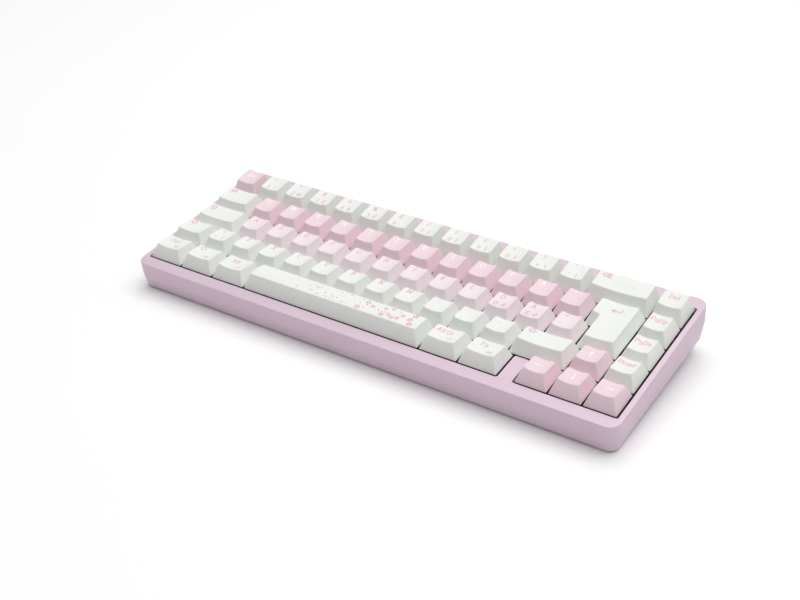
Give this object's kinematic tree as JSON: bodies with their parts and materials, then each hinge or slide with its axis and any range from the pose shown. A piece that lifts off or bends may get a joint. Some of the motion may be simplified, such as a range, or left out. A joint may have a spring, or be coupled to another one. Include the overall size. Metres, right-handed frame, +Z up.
{
  "type": "mechanical keyboard",
  "caption": "Compact mechanical keyboard with sculpted keycaps in white and two pinks, in a lilac metal case that tilts forward on rubber feet.",
  "frame": {"origin": "centre of the footprint, on the surface that the feet stand on", "axes": "+X to the right along the long edge, +Y away from the typist, +Z up; the top face leans 7 degrees back up about X"},
  "size_m": [0.3122, 0.1134, 0.0396],
  "materials": {
    "case_lilac": "bead-blasted and anodised lilac, satin",
    "cap_white": "fine-textured PBT, warm white",
    "cap_pink": "fine-textured PBT, pink",
    "cap_blush": "fine-textured PBT, pale blush pink",
    "plate_alloy": "black anodised, satin",
    "board": "black solder mask, with black nylon switch housings",
    "gasket_foam": "closed-cell foam",
    "foot_rubber": "matt moulded rubber",
    "wire_steel": "drawn steel wire",
    "inlet_steel": "nickel-plated steel shell",
    "battery_wrap": "heat-shrunk film"
  },
  "bodies": {
    "base": {"upper_case": "case_lilac", "bottom_cover": "case_lilac", "gasket_front": "gasket_foam", "gasket_rear": "gasket_foam", "switch_plate": "plate_alloy", "circuit_board": "board", "usb_board": "inlet_steel", "battery_pack": "battery_wrap", "foot_front_left": "foot_rubber", "foot_front_right": "foot_rubber", "foot_rear_left": "foot_rubber", "foot_rear_right": "foot_rubber"},
    "key_esc": {"key_esc": "cap_pink"},
    "key_1_and_2": {"key_1_and_2": "cap_white"},
    "key_3_and_4": {"key_3_and_4": "cap_white"},
    "key_5_and_6": {"key_5_and_6": "cap_white"},
    "key_7_and_8": {"key_7_and_8": "cap_white"},
    "key_9_and_0": {"key_9_and_0": "cap_white"},
    "key_plus_and_acute": {"key_plus_and_acute": "cap_white"},
    "key_backspace": {"key_backspace": "cap_white"},
    "key_delete": {"key_delete": "cap_white"},
    "key_tab": {"key_tab": "cap_white"},
    "key_q_and_w": {"key_q_and_w": "cap_pink"},
    "key_e_and_r": {"key_e_and_r": "cap_pink"},
    "key_t_and_y": {"key_t_and_y": "cap_pink"},
    "key_u_and_i": {"key_u_and_i": "cap_pink"},
    "key_o_and_p": {"key_o_and_p": "cap_pink"},
    "key_a_ring_and_umlaut": {"key_a_ring_and_umlaut": "cap_pink"},
    "key_page_up": {"key_page_up": "cap_white"},
    "key_caps_lock": {"key_caps_lock": "cap_white"},
    "key_a_and_s": {"key_a_and_s": "cap_blush"},
    "key_d_and_f": {"key_d_and_f": "cap_blush"},
    "key_g_and_h": {"key_g_and_h": "cap_blush"},
    "key_j_and_k": {"key_j_and_k": "cap_blush"},
    "key_l_and_o_umlaut": {"key_l_and_o_umlaut": "cap_blush"},
    "key_a_umlaut_and_apostrophe": {"key_a_umlaut_and_apostrophe": "cap_blush"},
    "key_page_down": {"key_page_down": "cap_white"},
    "key_shift_left": {"key_shift_left": "cap_white"},
    "key_angle": {"key_angle": "cap_white"},
    "key_z_and_x": {"key_z_and_x": "cap_white"},
    "key_c_and_v": {"key_c_and_v": "cap_white"},
    "key_b_and_n": {"key_b_and_n": "cap_white"},
    "key_m_and_comma": {"key_m_and_comma": "cap_white"},
    "key_period_and_minus": {"key_period_and_minus": "cap_white"},
    "key_shift_right": {"key_shift_right": "cap_white"},
    "key_up": {"key_up": "cap_pink"},
    "key_home": {"key_home": "cap_white"},
    "key_ctrl": {"key_ctrl": "cap_white"},
    "key_super": {"key_super": "cap_white"},
    "key_alt": {"key_alt": "cap_white"},
    "key_space": {"key_space": "cap_white"},
    "key_alt_right": {"key_alt_right": "cap_white"},
    "key_fn": {"key_fn": "cap_white"},
    "key_left": {"key_left": "cap_pink"},
    "key_down": {"key_down": "cap_pink"},
    "key_right": {"key_right": "cap_pink"},
    "key_enter": {"key_enter": "cap_white"},
    "stabiliser_wire_space": {"stabiliser_wire_space": "wire_steel"},
    "stabiliser_wire_backspace": {"stabiliser_wire_backspace": "wire_steel"},
    "stabiliser_wire_enter": {"stabiliser_wire_enter": "wire_steel"}
  },
  "joints": [
    {"name": "press_esc", "type": "slide", "parent": "base", "child": "key_esc", "axis": [0, 0.1219, -0.9925], "range_m": [0, 0.004], "stiffness_N_per_m": 73.5, "springref_m": -0.004},
    {"name": "press_1_and_2", "type": "slide", "parent": "base", "child": "key_1_and_2", "axis": [0, 0.1219, -0.9925], "range_m": [0, 0.004], "stiffness_N_per_m": 73.5, "springref_m": -0.004},
    {"name": "press_3_and_4", "type": "slide", "parent": "base", "child": "key_3_and_4", "axis": [0, 0.1219, -0.9925], "range_m": [0, 0.004], "stiffness_N_per_m": 73.5, "springref_m": -0.004},
    {"name": "press_5_and_6", "type": "slide", "parent": "base", "child": "key_5_and_6", "axis": [0, 0.1219, -0.9925], "range_m": [0, 0.004], "stiffness_N_per_m": 73.5, "springref_m": -0.004},
    {"name": "press_7_and_8", "type": "slide", "parent": "base", "child": "key_7_and_8", "axis": [0, 0.1219, -0.9925], "range_m": [0, 0.004], "stiffness_N_per_m": 73.5, "springref_m": -0.004},
    {"name": "press_9_and_0", "type": "slide", "parent": "base", "child": "key_9_and_0", "axis": [0, 0.1219, -0.9925], "range_m": [0, 0.004], "stiffness_N_per_m": 73.5, "springref_m": -0.004},
    {"name": "press_plus_and_acute", "type": "slide", "parent": "base", "child": "key_plus_and_acute", "axis": [0, 0.1219, -0.9925], "range_m": [0, 0.004], "stiffness_N_per_m": 73.5, "springref_m": -0.004},
    {"name": "press_backspace", "type": "slide", "parent": "base", "child": "key_backspace", "axis": [0, 0.1219, -0.9925], "range_m": [0, 0.004], "stiffness_N_per_m": 73.5, "springref_m": -0.004},
    {"name": "press_delete", "type": "slide", "parent": "base", "child": "key_delete", "axis": [0, 0.1219, -0.9925], "range_m": [0, 0.004], "stiffness_N_per_m": 73.5, "springref_m": -0.004},
    {"name": "press_tab", "type": "slide", "parent": "base", "child": "key_tab", "axis": [0, 0.1219, -0.9925], "range_m": [0, 0.004], "stiffness_N_per_m": 73.5, "springref_m": -0.004},
    {"name": "press_q_and_w", "type": "slide", "parent": "base", "child": "key_q_and_w", "axis": [0, 0.1219, -0.9925], "range_m": [0, 0.004], "stiffness_N_per_m": 73.5, "springref_m": -0.004},
    {"name": "press_e_and_r", "type": "slide", "parent": "base", "child": "key_e_and_r", "axis": [0, 0.1219, -0.9925], "range_m": [0, 0.004], "stiffness_N_per_m": 73.5, "springref_m": -0.004},
    {"name": "press_t_and_y", "type": "slide", "parent": "base", "child": "key_t_and_y", "axis": [0, 0.1219, -0.9925], "range_m": [0, 0.004], "stiffness_N_per_m": 73.5, "springref_m": -0.004},
    {"name": "press_u_and_i", "type": "slide", "parent": "base", "child": "key_u_and_i", "axis": [0, 0.1219, -0.9925], "range_m": [0, 0.004], "stiffness_N_per_m": 73.5, "springref_m": -0.004},
    {"name": "press_o_and_p", "type": "slide", "parent": "base", "child": "key_o_and_p", "axis": [0, 0.1219, -0.9925], "range_m": [0, 0.004], "stiffness_N_per_m": 73.5, "springref_m": -0.004},
    {"name": "press_a_ring_and_umlaut", "type": "slide", "parent": "base", "child": "key_a_ring_and_umlaut", "axis": [0, 0.1219, -0.9925], "range_m": [0, 0.004], "stiffness_N_per_m": 73.5, "springref_m": -0.004},
    {"name": "press_page_up", "type": "slide", "parent": "base", "child": "key_page_up", "axis": [0, 0.1219, -0.9925], "range_m": [0, 0.004], "stiffness_N_per_m": 73.5, "springref_m": -0.004},
    {"name": "press_caps_lock", "type": "slide", "parent": "base", "child": "key_caps_lock", "axis": [0, 0.1219, -0.9925], "range_m": [0, 0.004], "stiffness_N_per_m": 73.5, "springref_m": -0.004},
    {"name": "press_a_and_s", "type": "slide", "parent": "base", "child": "key_a_and_s", "axis": [0, 0.1219, -0.9925], "range_m": [0, 0.004], "stiffness_N_per_m": 73.5, "springref_m": -0.004},
    {"name": "press_d_and_f", "type": "slide", "parent": "base", "child": "key_d_and_f", "axis": [0, 0.1219, -0.9925], "range_m": [0, 0.004], "stiffness_N_per_m": 73.5, "springref_m": -0.004},
    {"name": "press_g_and_h", "type": "slide", "parent": "base", "child": "key_g_and_h", "axis": [0, 0.1219, -0.9925], "range_m": [0, 0.004], "stiffness_N_per_m": 73.5, "springref_m": -0.004},
    {"name": "press_j_and_k", "type": "slide", "parent": "base", "child": "key_j_and_k", "axis": [0, 0.1219, -0.9925], "range_m": [0, 0.004], "stiffness_N_per_m": 73.5, "springref_m": -0.004},
    {"name": "press_l_and_o_umlaut", "type": "slide", "parent": "base", "child": "key_l_and_o_umlaut", "axis": [0, 0.1219, -0.9925], "range_m": [0, 0.004], "stiffness_N_per_m": 73.5, "springref_m": -0.004},
    {"name": "press_a_umlaut_and_apostrophe", "type": "slide", "parent": "base", "child": "key_a_umlaut_and_apostrophe", "axis": [0, 0.1219, -0.9925], "range_m": [0, 0.004], "stiffness_N_per_m": 73.5, "springref_m": -0.004},
    {"name": "press_page_down", "type": "slide", "parent": "base", "child": "key_page_down", "axis": [0, 0.1219, -0.9925], "range_m": [0, 0.004], "stiffness_N_per_m": 73.5, "springref_m": -0.004},
    {"name": "press_shift_left", "type": "slide", "parent": "base", "child": "key_shift_left", "axis": [0, 0.1219, -0.9925], "range_m": [0, 0.004], "stiffness_N_per_m": 73.5, "springref_m": -0.004},
    {"name": "press_angle", "type": "slide", "parent": "base", "child": "key_angle", "axis": [0, 0.1219, -0.9925], "range_m": [0, 0.004], "stiffness_N_per_m": 73.5, "springref_m": -0.004},
    {"name": "press_z_and_x", "type": "slide", "parent": "base", "child": "key_z_and_x", "axis": [0, 0.1219, -0.9925], "range_m": [0, 0.004], "stiffness_N_per_m": 73.5, "springref_m": -0.004},
    {"name": "press_c_and_v", "type": "slide", "parent": "base", "child": "key_c_and_v", "axis": [0, 0.1219, -0.9925], "range_m": [0, 0.004], "stiffness_N_per_m": 73.5, "springref_m": -0.004},
    {"name": "press_b_and_n", "type": "slide", "parent": "base", "child": "key_b_and_n", "axis": [0, 0.1219, -0.9925], "range_m": [0, 0.004], "stiffness_N_per_m": 73.5, "springref_m": -0.004},
    {"name": "press_m_and_comma", "type": "slide", "parent": "base", "child": "key_m_and_comma", "axis": [0, 0.1219, -0.9925], "range_m": [0, 0.004], "stiffness_N_per_m": 73.5, "springref_m": -0.004},
    {"name": "press_period_and_minus", "type": "slide", "parent": "base", "child": "key_period_and_minus", "axis": [0, 0.1219, -0.9925], "range_m": [0, 0.004], "stiffness_N_per_m": 73.5, "springref_m": -0.004},
    {"name": "press_shift_right", "type": "slide", "parent": "base", "child": "key_shift_right", "axis": [0, 0.1219, -0.9925], "range_m": [0, 0.004], "stiffness_N_per_m": 73.5, "springref_m": -0.004},
    {"name": "press_up", "type": "slide", "parent": "base", "child": "key_up", "axis": [0, 0.1219, -0.9925], "range_m": [0, 0.004], "stiffness_N_per_m": 73.5, "springref_m": -0.004},
    {"name": "press_home", "type": "slide", "parent": "base", "child": "key_home", "axis": [0, 0.1219, -0.9925], "range_m": [0, 0.004], "stiffness_N_per_m": 73.5, "springref_m": -0.004},
    {"name": "press_ctrl", "type": "slide", "parent": "base", "child": "key_ctrl", "axis": [0, 0.1219, -0.9925], "range_m": [0, 0.004], "stiffness_N_per_m": 73.5, "springref_m": -0.004},
    {"name": "press_super", "type": "slide", "parent": "base", "child": "key_super", "axis": [0, 0.1219, -0.9925], "range_m": [0, 0.004], "stiffness_N_per_m": 73.5, "springref_m": -0.004},
    {"name": "press_alt", "type": "slide", "parent": "base", "child": "key_alt", "axis": [0, 0.1219, -0.9925], "range_m": [0, 0.004], "stiffness_N_per_m": 73.5, "springref_m": -0.004},
    {"name": "press_space", "type": "slide", "parent": "base", "child": "key_space", "axis": [0, 0.1219, -0.9925], "range_m": [0, 0.004], "stiffness_N_per_m": 73.5, "springref_m": -0.004},
    {"name": "press_alt_right", "type": "slide", "parent": "base", "child": "key_alt_right", "axis": [0, 0.1219, -0.9925], "range_m": [0, 0.004], "stiffness_N_per_m": 73.5, "springref_m": -0.004},
    {"name": "press_fn", "type": "slide", "parent": "base", "child": "key_fn", "axis": [0, 0.1219, -0.9925], "range_m": [0, 0.004], "stiffness_N_per_m": 73.5, "springref_m": -0.004},
    {"name": "press_left", "type": "slide", "parent": "base", "child": "key_left", "axis": [0, 0.1219, -0.9925], "range_m": [0, 0.004], "stiffness_N_per_m": 73.5, "springref_m": -0.004},
    {"name": "press_down", "type": "slide", "parent": "base", "child": "key_down", "axis": [0, 0.1219, -0.9925], "range_m": [0, 0.004], "stiffness_N_per_m": 73.5, "springref_m": -0.004},
    {"name": "press_right", "type": "slide", "parent": "base", "child": "key_right", "axis": [0, 0.1219, -0.9925], "range_m": [0, 0.004], "stiffness_N_per_m": 73.5, "springref_m": -0.004},
    {"name": "press_enter", "type": "slide", "parent": "base", "child": "key_enter", "axis": [0, 0.1219, -0.9925], "range_m": [0, 0.004], "stiffness_N_per_m": 73.5, "springref_m": -0.004},
    {"name": "rock_space_wire", "type": "hinge", "parent": "base", "child": "stabiliser_wire_space", "pos_m": [-0.02143, -0.04636, 0.01319], "axis": [-1, 0, 0], "range_deg": [0, 24.2]},
    {"name": "rock_backspace_wire", "type": "hinge", "parent": "base", "child": "stabiliser_wire_backspace", "pos_m": [0.1143, 0.02927, 0.02247], "axis": [-1, 0, 0], "range_deg": [0, 24.2]},
    {"name": "rock_enter_wire", "type": "hinge", "parent": "base", "child": "stabiliser_wire_enter", "pos_m": [0.11314, 0.00915, 0.02], "axis": [0, 0.9925, 0.1219], "range_deg": [0, 24.2]}
  ],
  "couplings": [
    {"joint": "rock_space_wire", "follows": "press_space", "rad_per_m": 104.72},
    {"joint": "rock_backspace_wire", "follows": "press_backspace", "rad_per_m": 104.72},
    {"joint": "rock_enter_wire", "follows": "press_enter", "rad_per_m": 104.72}
  ]
}
